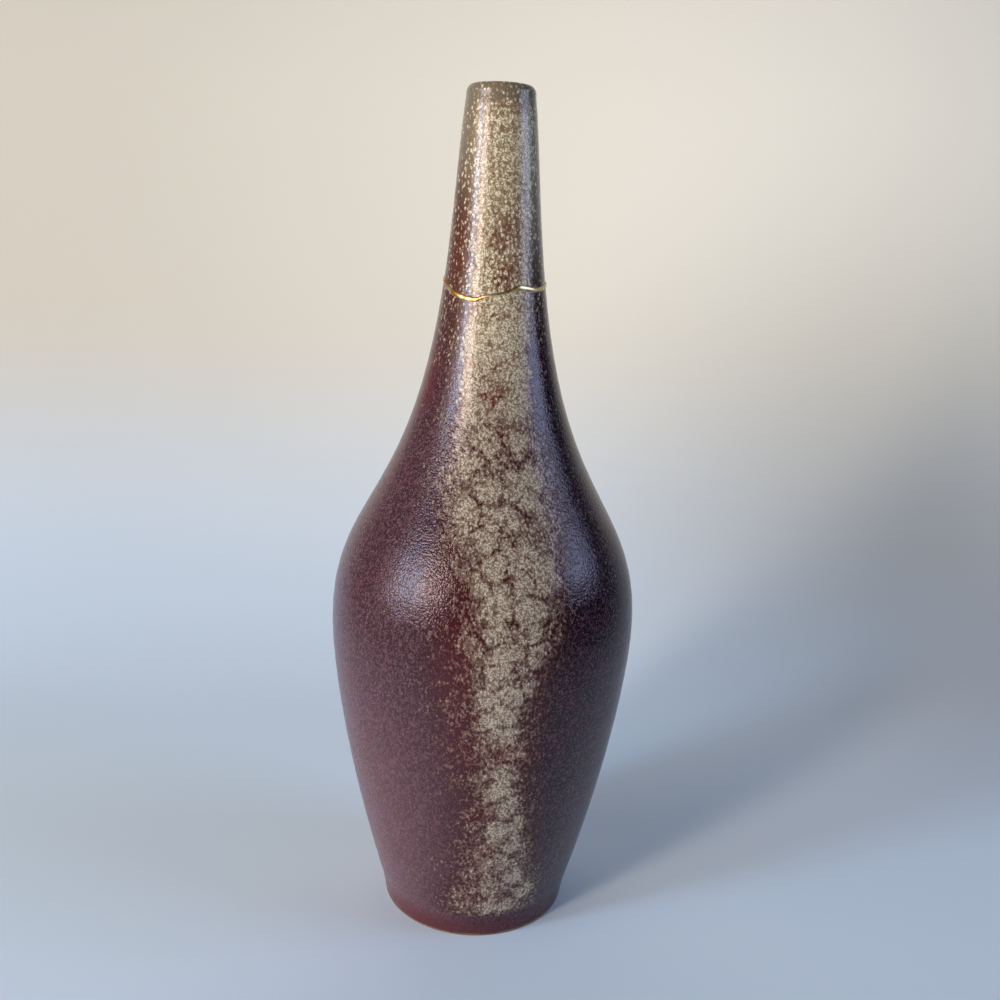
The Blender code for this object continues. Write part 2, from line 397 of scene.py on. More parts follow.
# %% [markdown]
# The cover is a number at each point of the wall, 0 for none and about 1 where it is thickest. A
# veil follows the streak, a wider and weaker spatter lies to either side of it, and on the body the
# clouds add to the veil while the dark lines take from it. Each of them fades over some degrees or
# millimetres, which the names below give.

# %% How much pale glaze covers each point
# Degrees to the right of the streak's left or right edge: where there is none, then where it is full
VEIL_LEFT, VEIL_RIGHT = (-13, 5), (7, -10)
SPATTER_LEFT, SPATTER_RIGHT = (-34, -4), (14, -1)
# Heights in mm
STREAK_FOOT = (6.5, 10.0)
STREAK_LIP = (240, 248)
CLOUDS_END = (154, 166)
THIN_RUN = (30, 70)
STREWN_RISE = (140, 215)
# Shares of full cover
LIP_THINNING = 0.55
NECK_COVER = 0.83
BODY_COVER = 0.42
CLOUD_COVER = 0.23
LINE_LOSS = 0.66
THIN_RUN_LOSS = 0.08
SPATTER_COVER = 0.25
STREWN_COVER = 0.08
NECK_STREWN_COVER = 0.29


def between_edges(degrees, left, right, left_fade, right_fade):
    """1 well within the streak's edges and 0 outside, with each edge's own fade."""
    inwards = ease(degrees, left + left_fade[0], left + left_fade[1])
    return inwards * ease(-degrees, -right - right_fade[0], -right - right_fade[1])


def pale_glaze(angle, height):
    """Cover of the pale glaze, and from 0 to 1 how close a point is to a dark line between clouds."""
    table = np.array(STREAK)
    level = height / MM
    degrees = np.degrees(angle)
    left = np.interp(level, table[:, 0], table[:, 1])
    right = np.interp(level, table[:, 0], table[:, 2])
    ends = ease(level, *STREAK_FOOT) * (1 - LIP_THINNING * ease(level, *STREAK_LIP))
    veil = between_edges(degrees, left, right, VEIL_LEFT, VEIL_RIGHT)
    spatter = between_edges(degrees, left, right, SPATTER_LEFT, SPATTER_RIGHT)
    first, gap = nearest_two_clouds(angle, height)
    within = 1 - ease(first, *CLOUD_EDGE)
    # The dark lines fade in and out along their way, and end outside the clouds
    arc = angle * outer_radius(height)
    faint = 0.68 + 0.32 * np.sin(height / (2.3 * MM) + 2 * np.sin(arc / (1.9 * MM)))
    line = faint * np.exp(-((gap / LINE_WIDTH) ** 2)) * (1 - ease(first, *LINES_END))
    clouded = 1 - ease(level, *CLOUDS_END)
    neck_cover = NECK_COVER * veil
    body_cover = (BODY_COVER * veil + CLOUD_COVER * within) * (1 - LINE_LOSS * line)
    # Low down the run is thinner
    body_cover = body_cover * (1 - THIN_RUN_LOSS + THIN_RUN_LOSS * ease(level, *THIN_RUN))
    # Single droplets lie everywhere, more of them on the neck
    strewn = STREWN_COVER + NECK_STREWN_COVER * ease(level, *STREWN_RISE) * (1 - veil)
    cover = neck_cover + (body_cover - neck_cover) * clouded
    return (cover + SPATTER_COVER * spatter + strewn) * ends, line * clouded * veil


# From this cover on, the pale glaze is plain to see
PLAIN_COVER = 0.4
front = np.radians(np.arange(-60.0, 61.0))
for level in (30, 90, 150, 210):
    cover = pale_glaze(front, np.full_like(front, level * MM))[0]
    print("at", level, "mm the pale glaze covers", int((cover > PLAIN_COVER).sum()), "degrees")

# %% [markdown]
# Iron in the clay breaks through as oxblood where the glaze is thin: in a few patches on the neck,
# in the fringe to the left of the streak and in a band above the foot. At the mouth the glaze is
# olive all round. On the left, most of all low down, the surface is drier, and its lighter mauve
# there is partly painted light: a painted sheen of the pale floor on the lit side. These places
# fade out softly, so the small ones are ellipses too, and the large ones are a rise with height or
# a turn towards one side.

# %% Reddish places
# Degrees from the front, height in mm, half the width in degrees, half the height in mm, strength
OXBLOOD = (
    (10, 210, 20, 9, 0.75),
    (9, 200, 22, 7, 0.85),
    (6, 188, 10, 2, 0.4),
    (4, 180, 9, 2, 0.5),
    (6, 174, 12, 3, 0.7),
    (2, 167, 15, 6, 1.0),
    (12, 157, 10, 4, 0.5),
    (-63, 168, 14, 9, 0.75),
    (-45, 206, 20, 16, 0.42),
    (-9, 96, 8, 22, 0.7),
    (-6, 74, 8, 14, 0.6),
    (2, 49, 9, 5, 0.6),
    (4, 33, 9, 6, 0.6),
    (0, 18, 10, 8, 0.6),
    (10, 69, 9, 4, 0.8),
)
THINNED_BY_OXBLOOD = 0.36
FOOT_GLOW = 8.5 * MM
FOOT_GLOW_FADE = (0.4 * FOOT_GLOW, 1.1 * FOOT_GLOW)
# How strong the band above the foot is opposite its brightest place, and what that place adds
FOOT_GLOW_LEAST = 0.225
FOOT_GLOW_ADDED = 0.675
FOOT_GLOW_PLACE = math.radians(-40)


def facing(angle, place):
    """1 at that place on the circle, 0 opposite it, and a smooth run between."""
    return 0.5 + 0.5 * np.cos(angle - place)


def spots(angle, height, places):
    total = np.zeros_like(angle)
    for degrees, middle, half_width, half_height, strength in places:
        across = (np.degrees(angle) - degrees) / half_width
        up = (height / MM - middle) / half_height
        total = np.maximum(total, strength * np.exp(-(across**2 + up**2)))
    return total


def oxblood(angle, height):
    band = 1 - ease(height, *FOOT_GLOW_FADE)
    warm = FOOT_GLOW_LEAST + FOOT_GLOW_ADDED * facing(angle, FOOT_GLOW_PLACE) ** 2
    return np.maximum(spots(angle, height, OXBLOOD), band * warm)


print(len(OXBLOOD), "red patches, and a band up to", FOOT_GLOW / MM, "mm")

# %% Olive, yellower, smoother and drier places, and a painted sheen
# Heights in mm. The olive glaze begins lowest to the right of the streak
OLIVE_START = 224
OLIVE_DIP = 34
OLIVE_FADE = 26
OLIVE_DIP_PLACE = math.radians(50)
HONEY_RISE = (150, 205)
FOOT_HONEY = 0.14
FOOT_HONEY_FADE = (6, 10)
MELT_RISE = (140, 185)
# Where the glaze is drier, and where a painted sheen lightens it on the lit left side
DRY_AND_SHEEN_FADE = (40, 110)
DRY_AND_SHEEN_ABOVE = 0.45
DRY_AND_SHEEN_PLACE = math.radians(-110)


def olive(angle, height):
    start = OLIVE_START - OLIVE_DIP * facing(angle, OLIVE_DIP_PLACE)
    return ease(height / MM, start, start + OLIVE_FADE)


def honey(height):
    """The glazes are yellower on the neck, over the olive one, and a little in the band above the foot."""
    return ease(height / MM, *HONEY_RISE) + FOOT_HONEY * (1 - ease(height / MM, *FOOT_HONEY_FADE))


def melt(height):
    """The glaze ran smoothest down the neck and stayed sugary on the belly."""
    return ease(height / MM, *MELT_RISE)


def dryness_and_sheen(angle, height):
    """Driest, and with the most painted sheen, at the left and low down."""
    low = 1 - ease(height / MM, *DRY_AND_SHEEN_FADE)
    return (DRY_AND_SHEEN_ABOVE + (1 - DRY_AND_SHEEN_ABOVE) * low) * facing(angle, DRY_AND_SHEEN_PLACE)


print("the neck is olive from", OLIVE_START - OLIVE_DIP, "mm at the lowest")

# %% [markdown]
# ## The relief
# The pale glaze lies thicker than the plum one, by about a tenth of a millimetre, and the dark
# lines between its clouds are little valleys. Under all of it run the faint rings that the fingers
# left. This relief is real geometry. It only ever goes inwards from the outline, so the piece keeps
# to the size of the solid.

# %% The relief of the outside
CLOUD_THICKNESS = 0.11 * MM
RING_DEPTH = 0.05 * MM
RING_PITCH = 6.3 * MM
SLOW_PITCH = 2.7 * RING_PITCH
SLOW_SHARE = 0.4
# The glaze is at its full thickness from this cover on, and a line takes this share of it away
FULL_COVER = 0.8
VALLEY_SHARE = 0.5
# The rings and the glaze come in gently over these heights
RINGS_START = (2 * MM, 8 * MM)
GLAZE_START = (1 * MM, 4 * MM)
BARE_EDGE = 0.9 * MM


def relief(angle, height, cover, line):
    """How far the surface lies inside the outline."""
    spiral = 0.5 + 0.5 * np.sin(math.tau * height / RING_PITCH + angle)
    slow = 0.5 + 0.5 * np.sin(math.tau * height / SLOW_PITCH - angle * 2)
    rings = RING_DEPTH * ((1 - SLOW_SHARE) * spiral + SLOW_SHARE * slow)
    thin = CLOUD_THICKNESS * (1 - np.clip(cover / FULL_COVER, 0, 1) + VALLEY_SHARE * line)
    return rings * ease(height, *RINGS_START) + thin * ease(height, *GLAZE_START)


deepest = (1 + VALLEY_SHARE) * CLOUD_THICKNESS + RING_DEPTH
print("the relief is at most", round(deepest / MM, 2), "mm deep")

# %% [markdown]
# ## The body and the neck
# The body is one section, turned: the flat foot ring with its recess, up the outside to the break,
# down the inside to the floor. Its topmost points are then bent to the line of the break. The crack
# itself is a hair's width, and the gold bridges it. The neck is the same, with the lip rolled over
# into the mouth.

# %% Sections
FLOOR_HEIGHT = 8.0 * MM
FLOOR_COVE = 9.0 * MM
MOUTH_ROLL = 1.4 * MM
FOOT_RING_WIDTH = 5.0 * MM
RECESS_DEPTH = 2.5 * MM
RECESS_COVE = 1.2 * MM
FOOT_ROUNDING = 0.5 * MM
CRACK_WIDTH = 0.3 * MM
ROUNDING_STEPS = 8
EDGE_STEPS = 3
FOOT_BAND_RINGS = 9
WALL_RINGS = 120
BREAK_RINGS = 22
INSIDE_RINGS = 44
NECK_RINGS = 92


def rounding(start, corner, end, steps=ROUNDING_STEPS):
    """A quarter of an ellipse from start to end that fills the corner between them, both ends included."""
    centre = np.array(start) + np.array(end) - np.array(corner)
    turns = np.radians(90) * np.arange(steps + 1) / steps
    arms = np.outer(np.cos(turns), start - centre) + np.outer(np.sin(turns), end - centre)
    return [tuple(point) for point in centre + arms]


def rise(face, low, high, rings):
    """Points on one face of the wall at even heights, both ends included."""
    return [(float(face(height)), height) for height in np.linspace(low, high, rings + 1)]


def body_section():
    inside = FOOT_RADIUS - FOOT_RING_WIDTH
    section = [(0.0, RECESS_DEPTH), (0.5 * inside, RECESS_DEPTH)]
    cove_start = (inside - RECESS_COVE, RECESS_DEPTH)
    section += rounding(cove_start, (inside, RECESS_DEPTH), (inside, RECESS_DEPTH - RECESS_COVE))
    section += rounding((inside, FOOT_ROUNDING), (inside, 0.0), (inside + FOOT_ROUNDING, 0.0), EDGE_STEPS)
    outer_edge = (float(outer_radius(FOOT_ROUNDING)), FOOT_ROUNDING)
    section += rounding((FOOT_RADIUS - FOOT_ROUNDING, 0.0), (FOOT_RADIUS, 0.0), outer_edge, EDGE_STEPS)
    section += rise(outer_radius, FOOT_ROUNDING, FOOT_BAND_HEIGHT, FOOT_BAND_RINGS)[1:-1]
    section += lower_wall(WALL_RINGS) + shoulder(WALL_RINGS)[1:]
    section += rise(outer_radius, NECK_BASE_HEIGHT, BREAK_HEIGHT, BREAK_RINGS)[1:]
    cove_top = FLOOR_HEIGHT + FLOOR_COVE
    wall_foot = float(inner_radius(cove_top))
    section += rise(inner_radius, BREAK_HEIGHT, cove_top, INSIDE_RINGS)[:-1]
    floor_edge = wall_foot - FLOOR_COVE
    section += rounding((wall_foot, cove_top), (wall_foot, FLOOR_HEIGHT), (floor_edge, FLOOR_HEIGHT))
    return section + [(0.5 * floor_edge, FLOOR_HEIGHT), (0.0, FLOOR_HEIGHT)]


def neck_section():
    mouth_radius = float(inner_radius(NECK_TOP_HEIGHT))
    crest = (NECK_TOP_RADIUS - LIP_INSET, LIP_HEIGHT)
    section = rise(outer_radius, BREAK_HEIGHT, NECK_TOP_HEIGHT, NECK_RINGS)[:-1]
    section += rounding(NECK_TOP, (NECK_TOP_RADIUS, LIP_HEIGHT), crest)
    section += rounding(crest, (mouth_radius, LIP_HEIGHT), (mouth_radius, LIP_HEIGHT - MOUTH_ROLL))[1:]
    return section + rise(inner_radius, LIP_HEIGHT - 2 * MOUTH_ROLL, BREAK_HEIGHT, BREAK_RINGS)


print(len(body_section()), "points round the body,", len(neck_section()), "round the neck")

# %% [markdown]
# A turned piece has a level rim, so its points are moved up and down to the line of the break, less
# and less towards a height where they stay. The same pass pushes the outside in by the relief, and
# stores each mark of the glaze on the points, for the material to read.

# %% Bend a turned piece to the break and lay the glaze's relief and marks on it
BODY_STEPS = 272
NECK_STEPS = 256
LIP_FADE = 1 * MM


def bend_to_break(angle, radius, height, fixed, side):
    """Moves the rim at BREAK_HEIGHT to its side of the crack, fading out towards the fixed height."""
    share = np.clip((height - fixed) / (BREAK_HEIGHT - fixed), 0.0, 1.0)
    rim = break_height(np.degrees(angle)) + side * CRACK_WIDTH / 2
    moved = height + (rim - BREAK_HEIGHT) * share
    on_outside = radius > (outer_radius(height) + inner_radius(height)) / 2
    shift = np.where(
        on_outside,
        outer_radius(moved) - outer_radius(height),
        inner_radius(moved) - inner_radius(height),
    )
    return np.where(share > 0, radius + shift, radius), moved, on_outside


def store(mesh, name, values):
    mesh.attributes.new(name, "FLOAT", "POINT").data.foreach_set("value", values.astype(np.float32))


def dress(piece, fixed, side):
    """Bends the piece to the break, and gives its outside the relief and the marks of the glaze."""
    mesh = piece.data
    angle, radius, height = around(read_points(mesh))
    radius, height, on_outside = bend_to_break(angle, radius, height, fixed, side)
    cover, line = pale_glaze(angle, height)
    lip = ease(height, NECK_TOP_HEIGHT - LIP_FADE, NECK_TOP_HEIGHT + LIP_FADE)
    glazed = on_outside & (height > BARE_EDGE)
    sunk = relief(angle, height, cover, line) * glazed * (1 - lip)
    write_points(mesh, angle, np.maximum(radius - sunk, 0.0), height)
    red = oxblood(angle, height)
    store(mesh, "pale", cover * (1 - THINNED_BY_OXBLOOD * red))
    store(mesh, "oxblood", red)
    store(mesh, "olive", olive(angle, height))
    # The drier glaze's share, which also places the painted sheen
    store(mesh, "dry_and_sheen", dryness_and_sheen(angle, height))
    store(mesh, "honey", honey(height))
    store(mesh, "melt", melt(height))
    print(piece.name, len(mesh.vertices), "points")


body = to_object("body_glazed", turn_section(body_section(), BODY_STEPS))
neck_piece = to_object("neck_glazed", turn_section(neck_section(), NECK_STEPS, closed=True))
dress(body, NECK_BASE_HEIGHT, -1)
dress(neck_piece, NECK_TOP_HEIGHT, 1)

# %% [markdown]
# ## The gold
# The lacquer fills the hair-thin crack, and gold powder is laid on a line of lacquer drawn over it
# with a fine brush. So the piece has a T for its section: a thin web in the crack, and a low round
# crown on the glaze. Its edges wander by under a tenth of a millimetre, as a brushed edge does, and
# its crown rises where the brush paused.

# %% The gold seam
GOLD_PROUD = 0.25 * MM
GOLD_BURIED = 0.12 * MM
# Inside the neck the lacquer ends in a small bead
BEAD_WIDTH = 0.9 * MM
BEAD_BURIED = 0.1 * MM
BEAD_PROUD = 0.2 * MM
EDGE_WANDER = 0.07 * MM
GOLD_STEPS = 400
CROWN_STEPS = 7
# Waves round the circle, and how much of the wander each one makes
WAVES = ((11, 0.35), (17, 0.30), (29, 0.20), (43, 0.15))
# Where the waves start, so that the two edges and the crown wander differently
UPPER_PHASE, LOWER_PHASE, CROWN_PHASE = 0.7, 2.1, 4.0
# How much of the crown's height comes and goes
CROWN_UNEVEN = 0.35


def wander(angle, phase):
    """A closed uneven line between -1 and 1 made of a few waves that fit the circle."""
    return sum(size * np.sin(count * angle + phase * count) for count, size in WAVES)


def gold_section():
    """The T section at its usual width, with heights measured from the middle of the crack."""
    outer = float(outer_radius(BREAK_HEIGHT))
    inner = float(inner_radius(BREAK_HEIGHT))
    half = SEAM_WIDTH / 2
    web = CRACK_WIDTH / 2
    foot = outer - GOLD_BURIED
    crest = (outer + GOLD_PROUD, 0.0)
    crown = rounding((foot, -half), (crest[0], -half), crest, CROWN_STEPS)
    crown += rounding(crest, (crest[0], half), (foot, half), CROWN_STEPS)[1:]
    wall = inner + BEAD_BURIED
    bead = inner - BEAD_PROUD
    back = [(foot, web), (wall, web), (wall, BEAD_WIDTH / 2), (bead, BEAD_WIDTH / 4)]
    mirrored = [(radius, -height) for radius, height in reversed(back)]
    return [(radius, height + BREAK_HEIGHT) for radius, height in crown + back + mirrored]


gold = to_object("gold_line", turn_section(gold_section(), GOLD_STEPS, closed=True))
print(gold.name, "has", len(gold_section()), "points round its section")

# %% [markdown]
# The turned ring is level and even. Each of its points now moves to the height of the break at its
# angle. The crown is widened or narrowed by the stations and by the wander of its edges, and the
# web keeps its width. The ring also follows the wall inwards and outwards as it rises and falls.

# %% Bend the gold to the break
points = read_points(gold.data)
angle, radius, height = around(points)
across = height - BREAK_HEIGHT
wide = np.abs(across) > CRACK_WIDTH / 2 + 0.01 * MM
stretched = across * seam_width(np.degrees(angle)) / SEAM_WIDTH
edge = EDGE_WANDER * np.where(across > 0, wander(angle, UPPER_PHASE), wander(angle, LOWER_PHASE))
brushed = stretched + edge * np.abs(across) / (SEAM_WIDTH / 2)
moved = break_height(np.degrees(angle)) + np.where(wide, brushed, across)
on_outside = radius > (outer_radius(BREAK_HEIGHT) + inner_radius(BREAK_HEIGHT)) / 2
shift = np.where(
    on_outside,
    outer_radius(moved) - outer_radius(BREAK_HEIGHT),
    inner_radius(moved) - inner_radius(BREAK_HEIGHT),
)
proud = np.maximum(radius - outer_radius(BREAK_HEIGHT), 0.0)
lowered = CROWN_UNEVEN * proud * (0.5 + 0.5 * wander(angle, CROWN_PHASE))
write_points(gold.data, angle, radius + shift - lowered, moved)
widest = float(seam_width(compass).max())
print("gold line", len(gold.data.vertices), "points, at most", round(widest / MM, 2), "mm wide")

# %% [markdown]
# ## Colours and nodes
# Colours are written as they look on a screen, as hex values, and one function turns them to the
# linear values that a shader works in. One more adds a node with its links and settings, and hands
# back the output that is wanted of it. Every pattern below gets its scale from a real size in
# millimetres: a noise whose cells are 1 mm wide, and so draws grains of about half that, has a
# scale of one over a millimetre.

# %% Colour and node helpers
# Places of the colour sockets on a Mix node, whose sockets for numbers and vectors come before them
SHARE, FIRST, SECOND, MIXED = 0, 6, 7, 2


def linear(hex_colour):
    channels = [int(hex_colour[index : index + 2], 16) / 255 for index in (1, 3, 5)]
    return tuple(c / 12.92 if c <= 0.04045 else ((c + 0.055) / 1.055) ** 2.4 for c in channels) + (1.0,)


def add_node(tree, kind, inputs, output=0, **settings):
    """Adds a node and gives back one of its outputs.

    Its inputs are in their order, or under their names. Each takes a plain value, or an output to link from.
    """
    node = tree.nodes.new("ShaderNode" + kind)
    for name, value in settings.items():
        setattr(node, name, value)
    for name, value in inputs.items() if isinstance(inputs, dict) else enumerate(inputs):
        if isinstance(value, bpy.types.NodeSocket):
            tree.links.new(value, node.inputs[name])
        else:
            node.inputs[name].default_value = value
    return node.outputs[output] if len(node.outputs) else node


def per_metre(size_in_mm):
    return 1 / (size_in_mm * MM)


def new_material(name):
    made = bpy.data.materials.new(name)
    made.use_nodes = True
    made.node_tree.nodes.clear()
    return made, made.node_tree


SOFT = {"interpolation_type": "SMOOTHSTEP"}
print("a grey of #808080 is", round(linear("#808080")[0], 3), "in linear light")

# %% [markdown]
# ## The outer glaze
# A satin stoneware glaze is glass with fine crystals in it: it shines softly, and close up it is
# grainy. The plum of this one is dark, with lighter dots about half a millimetre wide. The pale
# glaze over it is made of grains of that size, gathered in clusters of a few millimetres, of small
# crystals, and of droplets of about a millimetre. One rule gives all that: these patterns are added
# to the cover stored in the mesh. Where the sum is low the ground shows, where it is middling the
# glaze is a thin taupe veil, and where it is high it is thick and cream. So little cover leaves
# single droplets, and much cover leaves single pores.

# %% The patterns in the glaze
# Widths in mm
GRAIN_WIDTH = 0.80
CLUSTER_WIDTH = 2.2
DROPLET_WIDTH = 1.05
CRYSTAL_WIDTH = 0.48
FACET_WIDTH = 0.62
PATCH_WIDTH = 9.0
VERTICAL_STRETCH = 0.72

glaze, tree = new_material("satin_reactive_stoneware_glaze")
place = add_node(tree, "TexCoord", {}, "Object")
# Grains and droplets are longer than wide, because the glaze ran downwards
run = add_node(tree, "Mapping", {"Vector": place, "Scale": (1.0, 1.0, VERTICAL_STRETCH)})
grain = add_node(tree, "TexNoise", {"Vector": run, "Scale": per_metre(GRAIN_WIDTH), "Detail": 2.0}, "Fac")
cluster = add_node(tree, "TexNoise", {"Vector": run, "Scale": per_metre(CLUSTER_WIDTH), "Detail": 1.0}, "Fac")
from_facet = add_node(tree, "TexVoronoi", {"Vector": place, "Scale": per_metre(FACET_WIDTH)}, "Distance")
crystals = {"Vector": place, "Scale": per_metre(CRYSTAL_WIDTH), "Detail": 1.0}
crystal = add_node(tree, "TexNoise", crystals, "Fac")
patch = add_node(tree, "TexNoise", {"Vector": place, "Scale": per_metre(PATCH_WIDTH), "Detail": 2.0}, "Fac")
from_droplet = add_node(tree, "TexVoronoi", {"Vector": run, "Scale": per_metre(DROPLET_WIDTH)}, "Distance")
# A pattern turns from nothing to full over a narrow range of its values, which makes it crisp
fine = add_node(tree, "MapRange", (grain, 0.32, 0.68), **SOFT)
dots = add_node(tree, "MapRange", (from_facet, 0.42, 0.14, 0.0, 0.85), **SOFT)
speckle = add_node(tree, "MapRange", (grain, 0.44, 0.72, 0.0, 0.50), **SOFT)
speckle = add_node(tree, "Math", (speckle, dots), operation="ADD", use_clamp=True)
sugary = add_node(tree, "MapRange", (crystal, 0.36, 0.64), **SOFT)
clustered = add_node(tree, "MapRange", (cluster, 0.30, 0.70), **SOFT)
droplet = add_node(tree, "MapRange", (from_droplet, 0.52, 0.22), **SOFT)
marks = {
    name: add_node(tree, "Attribute", {}, "Fac", attribute_name=name)
    for name in ("pale", "oxblood", "olive", "dry_and_sheen", "honey", "melt")
}
print(len(tree.nodes), "nodes read the patterns and the marks")

# %% How thick the pale glaze lies at each point
GRAIN_SHARE = 0.44
CLUSTER_SHARE = 0.26
DOT_SHARE = 0.36
DROPLET_SHARE = 0.20
NECK_DROPLET_SHARE = 0.50
PATCH_SHARE = 0.40
# Most patterns lie about a mean of one half, and the dots, which are few, about a lower one
HALF = 0.5
DOT_MEAN = 0.12
# The thickness at which the ground gives way to the veil, and the veil to the cream
TO_VEIL = (0.25, 0.54)
TO_CREAM = (0.48, 1.05)

# On the neck, where the glaze ran fastest, the droplets stand out more than the grains
droplet_share = add_node(
    tree, "Math", (marks["honey"], NECK_DROPLET_SHARE, DROPLET_SHARE), operation="MULTIPLY_ADD"
)
# Each pattern is added with its mean taken off, so that it leaves the cover as it is on the whole
thickness = marks["pale"]
for pattern, mean, share in (
    (fine, HALF, GRAIN_SHARE),
    (clustered, HALF, CLUSTER_SHARE),
    (dots, DOT_MEAN, DOT_SHARE),
    (droplet, HALF, droplet_share),
    (patch, HALF, PATCH_SHARE),
):
    above_mean = add_node(tree, "Math", (pattern, mean), operation="SUBTRACT")
    thickness = add_node(tree, "Math", (above_mean, share, thickness), operation="MULTIPLY_ADD")
# Where there is no pale glaze at all, no droplet of it lies either
some = add_node(tree, "MapRange", (marks["pale"], 0.0, 0.10), **SOFT)
thickness = add_node(tree, "Math", (thickness, some), operation="MULTIPLY")
veiled = add_node(tree, "MapRange", (thickness, *TO_VEIL), **SOFT)
thick = add_node(tree, "MapRange", (thickness, *TO_CREAM), **SOFT)
unevenness = 0.5 * (GRAIN_SHARE + CLUSTER_SHARE + DROPLET_SHARE)
print("grains, clusters and droplets change the cover by", round(unevenness, 2), "either way")

# %% The colours of the glaze
PLUM_DARK = linear("#0B0307")
PLUM_LIGHT = linear("#7A4E62")
# Partly a drier glaze and partly painted light: a painted sheen of the pale floor on the lit left side
DRY_MAUVE_AND_SHEEN = linear("#94676C")
OLIVE_GROUND = linear("#9A917A")
RUSTY_TAUPE = linear("#8C6052")
# Each of these has one colour on the belly and a yellower one on the neck, over the olive glaze
BELLY_AND_NECK = {
    "pores": ("#481A1A", "#543C2A"),
    "red": ("#58191C", "#863C2A"),
    "veil": ("#6C5246", "#947858"),
    "cream": ("#DCCEB4", "#FFF2D2"),
    "shade": ("#907C6A", "#AE976C"),
}
OLIVE_STRENGTH = 0.62
# How much of the dry mauve with its painted sheen and of the red lies on the dark grains, and the most of the
# red elsewhere
DRY_AND_SHEEN_ON_DARK = 0.56
RED_ON_DARK = 0.64
RED_ON_LIGHT = 0.95

tones = {}
for name, (on_belly, on_neck) in BELLY_AND_NECK.items():
    tone = {SHARE: marks["honey"], FIRST: linear(on_belly), SECOND: linear(on_neck)}
    tones[name] = add_node(tree, "Mix", tone, MIXED, data_type="RGBA")
# The dry mauve crystals, with their painted sheen, stand on the lighter grains
dry_and_sheen_grains = add_node(tree, "MapRange", (speckle, 0.0, 1.0, DRY_AND_SHEEN_ON_DARK, 1.0))
dry_and_sheen = add_node(tree, "Math", (marks["dry_and_sheen"], dry_and_sheen_grains), operation="MULTIPLY")
olive_share = add_node(tree, "Math", (marks["olive"], OLIVE_STRENGTH), operation="MULTIPLY")
# Close to the pale glaze the ground turns to the colour of its pores
near_pale = add_node(tree, "MapRange", (marks["pale"], 0.12, 0.5, 0.0, 0.8), **SOFT)
# The red is a little weaker on the dark grains
mottled = add_node(tree, "MapRange", (speckle, 0.0, 0.7, RED_ON_DARK, RED_ON_LIGHT))
red_share = add_node(tree, "Math", (marks["oxblood"], mottled), operation="MULTIPLY")
plum = add_node(tree, "Mix", {SHARE: speckle, FIRST: PLUM_DARK, SECOND: PLUM_LIGHT}, MIXED, data_type="RGBA")
# Painted sheen: the plum turns a lighter mauve on the lit left side and low down, where the glaze is also
# drier
plum = add_node(tree, "Mix", {SHARE: dry_and_sheen, FIRST: plum, SECOND: DRY_MAUVE_AND_SHEEN}, MIXED, data_type="RGBA")
ground = {SHARE: near_pale, FIRST: plum, SECOND: tones["pores"]}
ground = add_node(tree, "Mix", ground, MIXED, data_type="RGBA")
ground = add_node(
    tree, "Mix", {SHARE: olive_share, FIRST: ground, SECOND: OLIVE_GROUND}, MIXED, data_type="RGBA"
)
ground = {SHARE: red_share, FIRST: ground, SECOND: tones["red"]}
ground = add_node(tree, "Mix", ground, MIXED, data_type="RGBA")
veil = {SHARE: red_share, FIRST: tones["veil"], SECOND: RUSTY_TAUPE}
veil = add_node(tree, "Mix", veil, MIXED, data_type="RGBA")
# Even where it is thick, the pale glaze is sugary with fine crystals
cream = {SHARE: sugary, FIRST: tones["shade"], SECOND: tones["cream"]}
cream = add_node(tree, "Mix", cream, MIXED, data_type="RGBA")
colour = add_node(tree, "Mix", {SHARE: veiled, FIRST: ground, SECOND: veil}, MIXED, data_type="RGBA")
colour = add_node(tree, "Mix", {SHARE: thick, FIRST: colour, SECOND: cream}, MIXED, data_type="RGBA")
print(len(tree.nodes), "nodes place the colours of the glaze")

# %% [markdown]
# The shine of the glaze is even, but its surface isn't: it is closely dimpled with facets half a
# millimetre wide, the grains stand up a little, and droplets of pale glaze stand up more, which
# breaks the highlights into sparks. A bump from the same patterns gives that, because such grains
# are far finer than the mesh. It is weaker on the neck, where the glaze melted smooth. Near the
# foot the glaze was wiped off, and one pore burst into a pinhole.

# %% The outer glaze: shine, grain and bare edge
GRAIN_HEIGHT = 0.060 * MM
DROPLET_HEIGHT = 0.050 * MM
FACET_HEIGHT = 0.070 * MM
PINHOLE = (1.0 * MM, -29.9 * MM, 5.0 * MM)
PINHOLE_RADIUS = 0.45 * MM
PINHOLE_DEPTH = 0.2 * MM
# The pinhole's near-black is painted shade in the hole
PINHOLE_SHADE = linear("#1C1012")
# On the neck the grain keeps this share of its height
MELTED_SHARPNESS = 0.36
# The bare edge is this high and wanders by up to that much more, with an edge this soft
WIPED_HEIGHT = 0.35 * MM
WIPED_WANDER = 1.2 * MM
WIPED_EDGE = 0.15 * MM
CLAY_TAN = linear("#84694F")
# The glaze's own roughness, and what each mark adds to it
GLAZE_ROUGHNESS = 0.16
DRY_ROUGHNESS = 0.14
VEIL_ROUGHNESS = 0.05
MELT_ROUGHNESS = -0.03
BARE_ROUGHNESS = 0.4
GLAZE_IOR = 1.42
# Its reflections are faintly rosy
GLAZE_SHINE = linear("#FFEDF4")

